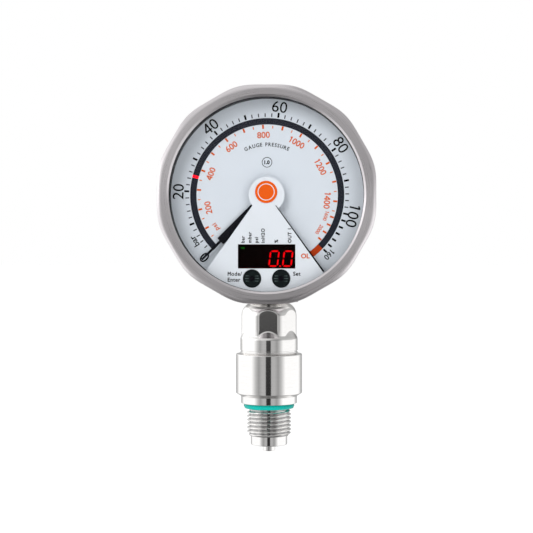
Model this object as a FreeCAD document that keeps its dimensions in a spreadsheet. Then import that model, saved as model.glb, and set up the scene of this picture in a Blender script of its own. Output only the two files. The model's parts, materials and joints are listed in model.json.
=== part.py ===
"""Electronic contact pressure gauge: a 100 mm stainless head on a swivelling G 1/2 process connection.

The origin is the centre of the collar's sealing face, on the thread axis. +Z is up, the dial faces -Y.
Head pieces are drawn about the dial's centre and lifted by gauge_height.
"""
import FreeCAD, Part
import math
import os
import re

import Sketcher
from FreeCAD import Placement, Rotation, Vector

DIMENSIONS = {
    # whole object: depths run along Y, and the neck's axis is at depth 0
    "gauge_height": 98.7,
    "running_clearance": 0.1,
    # process fitting, heights from the collar's sealing face
    "pin_radius": 3.0,
    "pin_bottom": -23.0,
    "spigot_radius": 8.75,
    "spigot_bottom": -20.0,
    "spigot_top": -15.6,
    "thread_radius": 10.4775,
    "thread_root": 9.32,
    "thread_pitch": 1.814,
    "thread_top": -2.9,
    "seal_land_radius": 9.6,
    "seal_radius": 12.2,
    "seal_depth": 2.4,
    "collar_radius": 13.4,
    "collar_height": 3.4,
    "barrel_bottom": 4.9,
    "barrel_radius": 15.85,
    "barrel_top": 23.6,
    "port_radius": 1.5,
    "restrictor_radius": 2.5,
    "restrictor_bore": 0.3,
    "restrictor_bottom": 5.0,
    "chamber_radius": 11.6,
    "chamber_bottom": 10.0,
    "cell_seal_bore": 8.0,
    "cell_seal_radius": 11.2,
    "cell_radius": 11.0,
    "cell_bottom": 11.5,
    "cell_top": 17.5,
    "cell_ring_bore": 8.5,
    "cell_ring_top": 20.5,
    "cell_board_top": 21.7,
    # hex neck
    "groove_radius": 13.45,
    "groove_bottom": 24.7,
    "groove_top": 25.3,
    "shoulder_radius": 13.75,
    "shoulder_top": 31.2,
    "hex_flats": 24.6,
    "hex_corner_radius": 13.2,
    "hex_top": 48.5,
    "hex_rounding": 6.5,
    "spindle_radius": 9.5,
    "spindle_top": 60.0,
    "wire_bore": 6.0,
    "seal_groove_radius": 8.3,
    "seal_groove_bottom": 51.5,
    "seal_groove_top": 53.3,
    "socket_bottom": 48.4,
    "socket_radius": 14.0,
    "socket_top": 58.0,
    "clip_groove_radius": 8.6,
    "stop_ring_bottom": 58.3,
    "stop_ring_top": 59.5,
    "stop_ring_radius": 12.0,
    "stop_radius": 11.0,
    "stop_pin_radius": 0.6,
    "stop_top": 62.0,
    "stop_tab": 0.6,
    # rear housing, radii from the dial's axis
    "wall": 1.2,
    "housing_radius": 46.6,
    "housing_rear": 18.0,
    "housing_corner": 8.0,
    "rim_radius": 47.9,
    "rim_bore": 46.2,
    "rim_front": -29.5,
    "rim_rear": -19.0,
    # screw bezel
    "bezel_front": -36.0,
    "bezel_rear": -22.0,
    "bezel_radius": 50.8,
    "bezel_flat": 50.0,
    "bezel_rounding": 2.4,
    "bezel_sides": 12,
    "bezel_bore": 48.2,
    "lip_radius": 44.45,
    "lip_edge": 0.8,
    "glass_front": -34.6,
    "glass_rear": -31.1,
    "glass_radius": 46.8,
    "glass_recess": 47.1,
    "recess_rear": -29.8,
    "gasket_rear": -29.7,
    "gasket_bore": 44.7,
    # dial and what stands round it
    "dial_front": -24.0,
    "dial_rear": -23.0,
    "dial_radius": 45.6,
    "dial_hole": 2.6,
    "surround_bore": 44.6,
    "surround_front": -29.4,
    "window_inner": 32.72,
    "window_outer": 35.71,
    "window_play": 0.05,
    "zero_bar_angle": 224.8,
    "window_end_angle": 225.8,
    "scale_end_angle": -44.0,
    "overload_angle": -54.5,
    "lit_angle": 165.5,
    "lit_width": 2.05,
    "carrier_rear": -21.0,
    "carrier_rim_rear": -19.0,
    "carrier_radius": 45.8,
    "led_board_rear": -19.4,
    "led_board_inner": 29.5,
    "led_board_outer": 40.0,
    "led_count": 46,
    "chip_length": 1.6,
    "chip_width": 0.8,
    # pointer
    "blade_front": -26.6,
    "blade_rear": -26.0,
    "blade_width": 4.0,
    "blade_end": 30.3,
    "blade_corner": 0.3,
    "blade_tail": 2.4,
    "needle_width": 1.2,
    "pointer_length": 42.3,
    "hub_front": -27.2,
    "hub_rear": -25.2,
    "hub_radius": 3.2,
    "boss_radius": 2.0,
    "shaft_radius": 0.75,
    "shaft_rear": -15.5,
    "motor_rear": -12.5,
    "motor_width": 26.0,
    "motor_tall": 30.0,
    "motor_bore_rear": -15.0,
    # display panel over the dial
    "panel_front": -29.0,
    "panel_rear": -27.8,
    "panel_radius": 44.5,
    "panel_apex_x": -1.25,
    "panel_apex": 2.35,
    "panel_half_angle": 35.6,
    "panel_disc": 8.25,
    "emblem_radius": 5.1,
    "emblem_x": -0.2,
    "emblem_z": 1.26,
    "emblem_front": -29.3,
    "window_half_width": 13.2,
    "window_top": -22.75,
    "window_bottom": -33.88,
    "cavity_bottom": -33.45,
    "module_bottom": -33.35,
    "button_x": 6.68,
    "button_z": -38.46,
    "button_radius": 4.13,
    "button_hole": 4.25,
    "button_flange": 4.45,
    "button_well": 4.6,
    "button_front": -29.6,
    "digit_height": 7.75,
    "digit_width": 4.75,
    "digit_pitch": 6.3,
    "digit_slant": 7.0,
    "digit_left": 0.95,
    "digit_floor": -33.2,
    "segment_width": 0.9,
    "segment_gap": 0.22,
    "segment_depth": 0.15,
    "point_x": 6.16,
    "point_radius": 0.42,
    "status_x": -11.0,
    "status_z": -24.45,
    "status_width": 1.65,
    "status_height": 0.75,
    "tact_radius": 2.4,
    "tact_depth": 1.4,
    # electronics
    "board_front": -10.0,
    "board_rear": -8.4,
    "board_radius": 43.0,
    "screw_circle": 40.0,
    "screw_radius": 1.5,
    "screw_head_radius": 2.8,
    "screw_head_height": 1.8,
    "screw_length": 6.0,
    "standoff_radius": 2.5,
    "board_notch_top": -33.0,
    "capacitor_radius": 3.0,
    "capacitor_height": 7.0,
    # rear connector and rear fittings
    "connector_radius": 6.0,
    "connector_root": 5.45,
    "connector_pitch": 1.0,
    "connector_flange": 9.0,
    "connector_seat": 18.8,
    "connector_shoulder": 21.0,
    "connector_end": 32.0,
    "connector_shank": 7.0,
    "connector_bore": 4.25,
    "nut_height": 2.4,
    "insert_front": 14.0,
    "insert_rear": 26.0,
    "contact_radius": 0.5,
    "contact_circle": 2.5,
    "vent_height": 26.0,
    "vent_radius": 5.0,
    "vent_cap_height": 2.0,
    "plate_width": 38.0,
    "plate_height": 14.0,
    "plate_thickness": 0.5,
}

doc = FreeCAD.newDocument("PressureSwitch")
sheet = doc.addObject("Spreadsheet::Sheet", "Dimensions")
pieces = []


def fill_sheet():
    """One row for each driving dimension: its name, and its value under an alias."""
    for row, (name, value) in enumerate(DIMENSIONS.items(), start=1):
        sheet.set(f"A{row}", name)
        sheet.set(f"B{row}", str(value))
        sheet.setAlias(f"B{row}", name)
    doc.recompute()


def bound(formula):
    """The formula with each dimension's name written as the sheet's alias."""
    def alias(match):
        word = match.group()
        return f"Dimensions.{word}" if word in DIMENSIONS else word
    return re.sub(r"[a-z_]+", alias, str(formula))


def number(formula):
    return float(sheet.evalExpression(bound(formula)))


def bind(thing, prop, formula):
    thing.setExpression(prop, bound(formula))


def keep(piece, label, lifted):
    """Names a finished sub-part, lifts it if it is drawn about the dial's centre, and lists it for export."""
    piece.Label = label
    if lifted:
        bind(piece, "Placement.Base.z", "gauge_height")
    pieces.append(piece)
    return piece


# ---------------------------------------------------------------- sketches and bodies

def sketch_on(body, role, name):
    plane = next(f for f in body.Origin.OriginFeatures if f.Role == role)
    sketch = body.newObject("Sketcher::SketchObject", name)
    sketch.AttachmentSupport = [(plane, "")]
    sketch.MapMode = "FlatFace"
    return sketch


def add_polygon(sketch, corners):
    """A closed outline whose corners are pairs of formulas."""
    count = len(corners)
    first = sketch.GeometryCount
    points = [Vector(number(x), number(y), 0) for x, y in corners]
    for i, point in enumerate(points):
        sketch.addGeometry(Part.LineSegment(point, points[(i + 1) % count]), False)
    for i in range(count):
        sketch.addConstraint(Sketcher.Constraint("Coincident", first + i, 2, first + (i + 1) % count, 1))
    for i, (corner, point) in enumerate(zip(corners, points)):
        for kind, formula, value in zip(("DistanceX", "DistanceY"), corner, point):
            index = sketch.addConstraint(Sketcher.Constraint(kind, -1, 1, first + i, 1, value))
            sketch.setExpression(f"Constraints[{index}]", bound(formula))


def add_circle(sketch, x, y, radius):
    drawn = Part.Circle(Vector(number(x), number(y), 0), Vector(0, 0, 1), number(radius))
    circle = sketch.addGeometry(drawn, False)
    for kind, formula in (("DistanceX", x), ("DistanceY", y)):
        index = sketch.addConstraint(Sketcher.Constraint(kind, -1, 1, circle, 3, number(formula)))
        sketch.setExpression(f"Constraints[{index}]", bound(formula))
    index = sketch.addConstraint(Sketcher.Constraint("Radius", circle, number(radius)))
    sketch.setExpression(f"Constraints[{index}]", bound(radius))


def turned(name, role, profile, sweep=360):
    """A body turned from (radius, position) corners: about Z on the XZ plane, about Y on the XY plane."""
    body = doc.addObject("PartDesign::Body", name)
    sketch = sketch_on(body, role, f"{name}_profile")
    add_polygon(sketch, profile)
    turn = body.newObject("PartDesign::Revolution", f"{name}_turn")
    turn.Profile = sketch
    turn.ReferenceAxis = (sketch, ["V_Axis"])
    bind(turn, "Angle", sweep)
    doc.recompute()
    return body


def about_z(name, profile):
    return turned(name, "XZ_Plane", profile)


def about_y(name, profile):
    return turned(name, "XY_Plane", profile)


def ring_y(name, inner, outer, front, rear):
    return about_y(name, [(inner, front), (outer, front), (outer, rear), (inner, rear)])


def ring_z(name, inner, outer, low, high):
    return about_z(name, [(inner, low), (outer, low), (outer, high), (inner, high)])


def disc_y(name, radius, front, rear):
    return ring_y(name, "0", radius, front, rear)


def sector(name, inner, outer, front, rear, start, end):
    """Part of a ring about Y between two dial angles, counted anticlockwise from +X as the dial is read."""
    profile = [(inner, front), (outer, front), (outer, rear), (inner, rear)]
    body = turned(name, "XY_Plane", profile, f"({end}) - ({start})")
    body.Placement = Placement(Vector(), Rotation(Vector(0, 1, 0), -number(end)))
    return body


def slab(name, front, rear, polygons=(), circles=()):
    """A plate between two depths, from outlines drawn as (x, height) seen from the front."""
    body = doc.addObject("PartDesign::Body", name)
    sketch = sketch_on(body, "XZ_Plane", f"{name}_outline")
    bind(sketch, "AttachmentOffset.Base.z", f"-({rear})")
    for polygon in polygons:
        add_polygon(sketch, polygon)
    for circle in circles:
        add_circle(sketch, *circle)
    pad = body.newObject("PartDesign::Pad", f"{name}_pad")
    pad.Profile = sketch
    bind(pad, "Length", f"({rear}) - ({front})")
    doc.recompute()
    return body


def rounded(body, radius, *corners):
    """Rounds a body's turned edges, each named by its radius and its place along the axis."""
    base = body.Tip
    wanted = [(number(r), number(place)) for r, place in corners]
    names = []
    for index, edge in enumerate(base.Shape.Edges, start=1):
        if not isinstance(edge.Curve, Part.Circle):
            continue
        centre = edge.Curve.Center
        if any(abs(edge.Curve.Radius - r) + abs(centre.y + centre.z - place) < 1e-4 for r, place in wanted):
            names.append(f"Edge{index}")
    fillet = body.newObject("PartDesign::Fillet", f"{body.Name}_rounding")
    fillet.Base = (base, names)
    bind(fillet, "Radius", radius)
    doc.recompute()


def oblong(centre_x, centre_z, wide, tall):
    """The four corners of a rectangle round a centre."""
    left, right = f"{centre_x} - ({wide})/2", f"{centre_x} + ({wide})/2"
    low, high = f"{centre_z} - ({tall})/2", f"{centre_z} + ({tall})/2"
    return [(left, low), (right, low), (right, high), (left, high)]


# ---------------------------------------------------------------- primitives and booleans

def cylinder(name, radius, length, base, direction):
    """A cylinder from a base point, given as formulas, along a direction."""
    rod = doc.addObject("Part::Cylinder", name)
    rod.Placement = Placement(Vector(), Rotation(Vector(0, 0, 1), direction))
    bind(rod, "Radius", radius)
    bind(rod, "Height", length)
    for letter, formula in zip("xyz", base):
        bind(rod, f"Placement.Base.{letter}", formula)
    return rod


def block(name, low, high):
    """A box between two opposite corners, given as formulas."""
    solid = doc.addObject("Part::Box", name)
    for prop, letter, a, b in zip(("Length", "Width", "Height"), "xyz", low, high):
        bind(solid, prop, f"({b}) - ({a})")
        bind(solid, f"Placement.Base.{letter}", a)
    return solid


def cut(name, base, *tools):
    result = doc.addObject("Part::Cut", name)
    result.Base = base
    result.Tool = tools[0] if len(tools) == 1 else group(f"{name}_tools", tools)
    return result


def group(name, members):
    """Separate solids that share one node."""
    compound = doc.addObject("Part::Compound", name)
    compound.Links = list(members)
    return compound


def fuse(name, *members):
    result = doc.addObject("Part::MultiFuse", name)
    result.Shapes = list(members)
    return result


ALONG_Y = Vector(0, 1, 0)
ALONG_Z = Vector(0, 0, 1)


def ridges(first, last, pitch, root, crest):
    """Corners of annular thread ridges between two places, each a crest a third of a pitch wide."""
    step = math.copysign(1, number(last) - number(first))
    count = int(abs(number(last) - number(first)) / number(pitch) + 1e-6)
    corners = []
    for index in range(count):
        for radius, share in ((root, 0.03), (crest, 0.32), (crest, 0.65), (root, 0.94)):
            corners.append((radius, f"{first} + ({step * (index + share):.2f})*{pitch}"))
    return corners


# ---------------------------------------------------------------- process connection

def build_fitting():
    """The turned fitting: pin, spigot, G 1/2 thread, seal land, collar and barrel, bored for the cell."""
    thread = ridges("thread_top", "spigot_top", "thread_pitch", "thread_root", "thread_radius")
    profile = [
        ("port_radius", "pin_bottom"), ("pin_radius - 0.3", "pin_bottom"), ("pin_radius", "pin_bottom + 0.3"),
        ("pin_radius", "spigot_bottom"), ("spigot_radius - 0.5", "spigot_bottom"),
        ("spigot_radius", "spigot_bottom + 0.5"), ("spigot_radius", "spigot_top"),
        ("thread_root", "spigot_top"), *reversed(thread), ("thread_root", "thread_top + 0.1"),
        ("seal_land_radius", "thread_top + 0.3"), ("seal_land_radius", "0"), ("collar_radius", "0"),
        ("collar_radius", "collar_height"), ("barrel_radius", "barrel_bottom"),
        ("barrel_radius", "barrel_top - 0.3"), ("barrel_radius - 0.3", "barrel_top"),
        ("chamber_radius", "barrel_top"), ("chamber_radius", "chamber_bottom"),
        ("restrictor_radius", "chamber_bottom"), ("restrictor_radius", "restrictor_bottom"),
        ("port_radius", "restrictor_bottom"),
    ]
    keep(about_z("fitting", profile), "process_fitting", False)

    lip = "seal_radius - 0.5"
    seal = [
        ("seal_land_radius", "-seal_depth"), (lip, "-seal_depth"), ("seal_radius", "-seal_depth + 0.6"),
        ("seal_radius", "-0.3"), (lip, "0"), ("seal_land_radius", "0"),
    ]
    keep(about_z("seal", seal), "profile_seal_ring", False)


def build_measuring_cell():
    """What the fitting holds: restrictor, seal, ceramic cell, clamp ring and the cell's board."""
    restrictor_top = "chamber_bottom - 1"
    keep(ring_z("restrictor", "restrictor_bore", "restrictor_radius", "restrictor_bottom", restrictor_top),
         "pressure_restrictor", False)
    keep(ring_z("cell_gasket", "cell_seal_bore", "cell_seal_radius", "chamber_bottom", "cell_bottom"),
         "cell_seal", False)
    keep(ring_z("cell", "0", "cell_radius", "cell_bottom", "cell_top"), "ceramic_cell", False)
    keep(ring_z("cell_ring", "cell_ring_bore", "chamber_radius", "cell_top", "cell_ring_top"),
         "cell_clamp_ring", False)
    keep(ring_z("cell_board", "0", "cell_radius", "cell_ring_top", "cell_board_top"), "sensor_board", False)


def build_neck():
    """The hex neck: a turned shoulder and spindle, with six flats whose ends run out in arches."""
    core = about_z("neck_core", [
        ("wire_bore", "barrel_top"), ("groove_radius - 0.3", "barrel_top"),
        ("shoulder_radius", "barrel_top + 0.6"),
        ("shoulder_radius", "groove_bottom - 0.1"), ("groove_radius", "groove_bottom"),
        ("groove_radius", "groove_top"), ("shoulder_radius", "groove_top + 0.1"),
        ("shoulder_radius", "shoulder_top"), ("hex_corner_radius", "shoulder_top + 1.2"),
        ("hex_flats/2 - 0.3", "shoulder_top + 4.3"), ("hex_flats/2 - 0.3", "hex_top - 4.5"),
        ("spindle_radius", "hex_top - 0.9"),
        ("spindle_radius", "seal_groove_bottom"), ("seal_groove_radius", "seal_groove_bottom"),
        ("seal_groove_radius", "seal_groove_top"), ("spindle_radius", "seal_groove_top"),
        ("spindle_radius", "stop_ring_bottom"), ("clip_groove_radius", "stop_ring_bottom"),
        ("clip_groove_radius", "stop_ring_top"), ("spindle_radius", "stop_ring_top"),
        ("spindle_radius", "spindle_top"), ("wire_bore", "spindle_top"),
    ])
    blank = ring_z("hex_blank", "wire_bore", "hex_corner_radius", "shoulder_top + 0.4", "hex_top")
    rounded(blank, "hex_rounding", ("hex_corner_radius", "hex_top"))
    prism = doc.addObject("Part::Prism", "hex_prism")
    prism.Polygon = 6
    bind(prism, "Circumradius", "hex_flats/2/cos(30)")
    bind(prism, "Height", "hex_top")
    hexagon = doc.addObject("Part::Common", "hexagon")
    hexagon.Base, hexagon.Tool = blank, prism
    keep(fuse("neck", core, hexagon), "hex_neck", False)

    keep(ring_z("swivel_ring", "seal_groove_radius", "spindle_radius", "seal_groove_bottom",
                "seal_groove_top"), "swivel_seal", False)
    keep(ring_z("stop_ring", "clip_groove_radius", "stop_ring_radius", "stop_ring_bottom", "stop_ring_top"),
         "swivel_stop_ring", False)
    keep(cylinder("stop_pin", "stop_pin_radius", "stop_top - stop_ring_top",
                  ("0", "-stop_radius", "stop_ring_top"), ALONG_Z), "rotation_stop_pin", False)


# ---------------------------------------------------------------- head: housing and rear fittings

def build_housing():
    """The deep-drawn rear housing with its rolled rim, and holes for the neck, the connector and the vent."""
    shell = about_y("shell", [
        ("rim_bore", "rim_front"), ("rim_radius - 0.4", "rim_front"), ("rim_radius", "rim_front + 0.4"),
        ("rim_radius", "rim_rear - 0.4"), ("housing_radius", "rim_rear"), ("housing_radius", "housing_rear"),
        ("0", "housing_rear"), ("0", "housing_rear - wall"), ("housing_radius - wall", "housing_rear - wall"),
        ("housing_radius - wall", "rim_rear"), ("rim_bore", "rim_rear"),
    ])
    rounded(shell, "housing_corner", ("housing_radius", "housing_rear"))
    rounded(shell, "housing_corner - wall", ("housing_radius - wall", "housing_rear - wall"))
    neck_hole = cylinder("neck_hole", "socket_radius", "housing_radius", ("0", "0", "-housing_radius - 5"),
                         ALONG_Z)
    through = "3*wall"
    behind = "housing_rear - 2*wall"
    connector_hole = cylinder("connector_hole", "connector_shank", through, ("0", behind, "0"), ALONG_Y)
    vent_hole = cylinder("vent_hole", "vent_radius/2", through, ("0", behind, "vent_height"), ALONG_Y)
    keep(cut("housing", shell, neck_hole, connector_hole, vent_hole), "housing_shell", True)

    keep(ring_z("socket", "spindle_radius + running_clearance", "socket_radius", "socket_bottom",
                "socket_top"), "neck_socket", False)
    leg = block("stop_leg", ("-stop_tab/2", "stop_ring_radius + 0.5", "socket_top"),
                ("stop_tab/2", "stop_ring_radius + 1.5", "stop_top"))
    arm = block("stop_arm", ("-stop_tab/2", "stop_radius - 0.8", "stop_ring_top + 0.5"),
                ("stop_tab/2", "stop_ring_radius + 1.5", "stop_top"))
    keep(fuse("stop_bracket", leg, arm), "swivel_stop_bracket", False)


def build_connector():
    """The rear M12 connector: shell, gasket, lock nut, insert, contacts and the leads to the board."""
    thread = ridges("connector_shoulder", "connector_end", "connector_pitch", "connector_root",
                    "connector_radius")
    keep(about_y("connector", [
        ("connector_bore", "insert_front"), ("connector_shank - 0.05", "insert_front"),
        ("connector_shank - 0.05", "connector_seat"), ("connector_flange - 0.3", "connector_seat"),
        ("connector_flange", "connector_seat + 0.3"), ("connector_flange", "connector_shoulder - 0.3"),
        ("connector_flange - 0.3", "connector_shoulder"), ("connector_root", "connector_shoulder"), *thread,
        ("connector_root", "connector_end"), ("connector_bore", "connector_end"),
    ]), "m12_connector_shell", True)
    keep(ring_y("connector_seal", "connector_shank", "connector_flange - 0.4", "housing_rear",
                "connector_seat"), "m12_gasket", True)

    nut = doc.addObject("Part::Prism", "nut_prism")
    nut.Polygon = 6
    bind(nut, "Circumradius", "connector_flange + 1")
    bind(nut, "Height", "nut_height")
    nut.Placement = Placement(Vector(), Rotation(ALONG_Z, ALONG_Y))
    bind(nut, "Placement.Base.y", "insert_front + 0.3")
    nut_hole = cylinder("nut_hole", "connector_shank", "nut_height + 1", ("0", "insert_front", "0"), ALONG_Y)
    keep(cut("nut", nut, nut_hole), "m12_nut", True)

    places = [("contact_circle", "0"), ("0", "contact_circle"), ("-contact_circle", "0"),
              ("0", "-contact_circle")]
    contacts, holes, leads = [], [], []
    for index, (x, z) in enumerate(places):
        contacts.append(cylinder(f"contact_{index}", "contact_radius", "connector_end - insert_front - 1",
                                 (x, "insert_front", z), ALONG_Y))
        holes.append(cylinder(f"contact_hole_{index}", "contact_radius", "insert_rear - insert_front",
                              (x, "insert_front", z), ALONG_Y))
        leads.append(cylinder(f"lead_{index}", "contact_radius", "insert_front - board_rear",
                              (x, "board_rear", z), ALONG_Y))
    plug = disc_y("insert_blank", "connector_bore", "insert_front", "insert_rear")
    keep(cut("insert", plug, *holes), "m12_insert", True)
    keep(group("contacts", contacts), "m12_contacts", True)
    keep(group("leads", leads), "connector_leads", True)


def build_rear_fittings():
    """The vent plug and the blank rear plate."""
    cap = cylinder("vent_cap", "vent_radius", "vent_cap_height", ("0", "housing_rear", "vent_height"), ALONG_Y)
    stem = cylinder("vent_stem", "vent_radius/2", "wall + 1", ("0", "housing_rear - wall - 1", "vent_height"),
                    ALONG_Y)
    keep(fuse("vent", cap, stem), "vent_plug", True)
    outline = oblong("0", "-vent_height", "plate_width", "plate_height")
    keep(slab("plate", "housing_rear", "housing_rear + plate_thickness", [outline]), "rear_plate", True)


# ---------------------------------------------------------------- head: dial

def build_dial():
    """The dial, its carrier, the black surround and the LED ring set into a slot of the dial."""
    slot = sector("dial_slot", "window_inner", "window_outer", "dial_front - 1", "dial_rear + 1",
                  "overload_angle", "window_end_angle")
    blank = ring_y("dial_blank", "dial_hole", "dial_radius", "dial_front", "dial_rear")
    keep(cut("dial", blank, slot), "dial_plate", True)

    carrier = about_y("carrier_blank", [
        ("dial_hole", "dial_rear"), ("carrier_radius", "dial_rear"), ("carrier_radius", "carrier_rim_rear"),
        ("carrier_radius - 2", "carrier_rim_rear"), ("carrier_radius - 2", "carrier_rear"),
        ("dial_hole", "carrier_rear"),
    ])
    light_slot = sector("light_slot", "window_inner - 0.4", "window_outer + 0.4", "dial_rear - 1",
                        "carrier_rear + 1", "overload_angle", "window_end_angle")
    keep(cut("carrier", carrier, light_slot), "dial_carrier", True)
    keep(ring_y("surround", "surround_bore", "carrier_radius", "surround_front", "dial_front"),
         "dial_surround", True)

    inner, outer = "window_inner + window_play", "window_outer - window_play"
    lit_from, lit_to = "lit_angle - lit_width/2", "lit_angle + lit_width/2"
    spans = {
        "lower": ("scale_end_angle", lit_from),
        "upper": (lit_to, "window_end_angle"),
    }
    arcs = [sector(f"window_{name}", inner, outer, "dial_front", "dial_rear", *span)
            for name, span in spans.items()]
    keep(group("windows", arcs), "led_ring_window", True)
    for name, label, span in (("lit", "lit_ring_mark", (lit_from, lit_to)),
                              ("overload", "overload_mark", ("overload_angle", "scale_end_angle"))):
        mark = sector(f"{name}_blank", inner, outer, "dial_front", "dial_rear", *span)
        keep(group(f"{name}_mark", [mark]), label, True)


def build_led_ring():
    """The ring-shaped board behind the dial, with one LED every few degrees along the scale."""
    keep(ring_y("led_ring_board", "led_board_inner", "led_board_outer", "carrier_rear", "led_board_rear"),
         "led_board", True)
    radius = number("window_inner + window_outer")/2
    count = int(number("led_count"))
    sweep = number("window_end_angle - overload_angle")
    chips = []
    for index in range(count):
        angle = math.radians(number("overload_angle") + sweep*(index + 0.5)/count)
        centre = Vector(radius*math.cos(angle), number("carrier_rear"), radius*math.sin(angle))
        chip = doc.addObject("Part::Box", f"chip_{index}")
        bind(chip, "Length", "chip_length")
        bind(chip, "Width", "chip_width")
        bind(chip, "Height", "chip_width")
        corner = Vector(-number("chip_length")/2, -number("chip_width"), -number("chip_width")/2)
        turn = Rotation(ALONG_Y, 90 - math.degrees(angle))
        chip.Placement = Placement(centre + turn.multVec(corner), turn)
        chips.append(chip)
    keep(group("chips", chips), "ring_leds", True)


def build_panel():
    """The raised display panel, the block behind it, the display and the two tact switches."""
    reach = "1.5*panel_radius"
    half_width, foot = f"{reach}*sin(panel_half_angle)", f"panel_apex - {reach}*cos(panel_half_angle)"
    wedge = slab("panel_wedge", "panel_front", "panel_rear",
                 [[("panel_apex_x", "panel_apex"), (f"panel_apex_x - {half_width}", foot),
                   (f"panel_apex_x + {half_width}", foot)]])
    limit = disc_y("panel_limit", "panel_radius", "panel_front", "panel_rear")
    trimmed = doc.addObject("Part::Common", "panel_trimmed")
    trimmed.Base, trimmed.Tool = wedge, limit
    disc = disc_y("panel_disc", "panel_disc", "panel_front", "panel_rear")
    sheet_blank = fuse("panel_blank", trimmed, disc)
    window_z = "(window_top + window_bottom)/2"
    window_tall = "window_top - window_bottom"
    window = slab("panel_window", "panel_front - 1", "panel_rear + 1",
                  [oblong("0", window_z, "2*window_half_width", window_tall)])
    openings = [window]
    wells = []
    for side, x in (("left", "-button_x"), ("right", "button_x")):
        openings.append(cylinder(f"panel_hole_{side}", "button_hole", "4", (x, "panel_front - 1", "button_z"),
                                 ALONG_Y))
        wells.append((x, "button_z", "button_well"))
    keep(cut("panel", sheet_blank, *openings), "display_panel", True)

    block_outline = [
        ("-window_half_width - 1.2", "window_top + 1.2"), ("-window_half_width - 1.2", "window_bottom - 0.2"),
        ("-button_x - 5.5", "window_bottom - 0.2"), ("-button_x - 5", "button_z - 3.9"),
        ("-button_x", "button_z - 4.95"), ("button_x", "button_z - 4.95"),
        ("button_x + 5", "button_z - 3.9"), ("button_x + 5.5", "window_bottom - 0.2"),
        ("window_half_width + 1.2", "window_bottom - 0.2"),
        ("window_half_width + 1.2", "window_top + 1.2"),
    ]
    cavity = oblong("0", "(window_top + cavity_bottom)/2", "2*window_half_width",
                    "window_top - cavity_bottom")
    keep(slab("block", "panel_rear", "dial_front", [block_outline, cavity], wells), "display_carrier", True)

    keep(slab("filter", "panel_front + 0.2", "panel_rear - 0.2",
              [oblong("0", window_z, "2*window_half_width - 0.1", f"{window_tall} - 0.1")]),
         "display_window", True)
    keep(slab("module", "panel_rear + 0.4", "dial_front - 0.6",
              [oblong("0", "(window_top - 0.1 + module_bottom)/2", "2*window_half_width - 0.2",
                      "window_top - 0.1 - module_bottom")]),
         "display_module", True)
    emblem = cylinder("emblem", "emblem_radius", "panel_front - emblem_front",
                      ("emblem_x", "emblem_front", "0"), ALONG_Y)
    keep(emblem, "emblem_disc", True)
    bind(emblem, "Placement.Base.z", "gauge_height + emblem_z")
    light = oblong("status_x", "status_z", "status_width", "status_height")
    keep(slab("status", "panel_rear + 0.2", "panel_rear + 0.4", [light]), "status_led", True)
    switches = [cylinder(f"tact_{side}", "tact_radius", "tact_depth",
                         (x, "dial_front - tact_depth", "button_z"), ALONG_Y)
                for side, x in (("left", "-button_x"), ("right", "button_x"))]
    keep(group("tacts", switches), "tact_switches", True)


def build_digits():
    """The lit segments that show 0.0: six bars for each nought, and the point between them."""
    tall, wide, width = number("digit_height"), number("digit_width"), number("segment_width")
    gap = number("segment_gap")
    slant = math.tan(math.radians(number("digit_slant")))
    floor = number("digit_floor")
    face, depth = number("panel_rear") + 0.4, number("segment_depth")

    def bar(x, z, run_x, run_z):
        """One bar with pointed ends, from the point (x, z) along (run_x, run_z), leaning with the digit."""
        length = math.hypot(run_x, run_z)
        along = Vector(run_x/length, 0, run_z/length)
        across = Vector(-along.z, 0, along.x)*(width/2)
        tip = along*(width/2)
        start = Vector(x, face, z) + along*gap
        end = Vector(x + run_x, face, z + run_z) - along*gap
        corners = [start, start + tip + across, end - tip + across,
                   end, end - tip - across, start + tip - across]
        leaning = [Vector(p.x + slant*(p.z - floor), p.y, p.z) for p in corners]
        outline = Part.makePolygon(leaning + leaning[:1])
        return Part.Face(outline).extrude(Vector(0, -depth, 0))

    bars = []
    inset = width/2
    right, top = wide - 2*inset, tall - 2*inset
    first = number("digit_left")
    for left in (first, first + number("digit_pitch")):
        x, z = left, floor + inset
        bars.append(bar(x, z, right, 0))
        bars.append(bar(x, z + top, right, 0))
        for side in (x, x + right):
            bars.append(bar(side, z, 0, top/2))
            bars.append(bar(side, z + top/2, 0, top/2))
    dot = number("point_radius")
    point = Part.makeCylinder(dot, depth, Vector(number("point_x"), face - depth, floor + dot), ALONG_Y)
    feature = doc.addObject("Part::Feature", "segments")
    feature.Shape = Part.makeCompound(bars + [point])
    feature.Placement = Placement(Vector(0, 0, number("gauge_height")), Rotation())
    keep(feature, "lit_segments", False)


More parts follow.
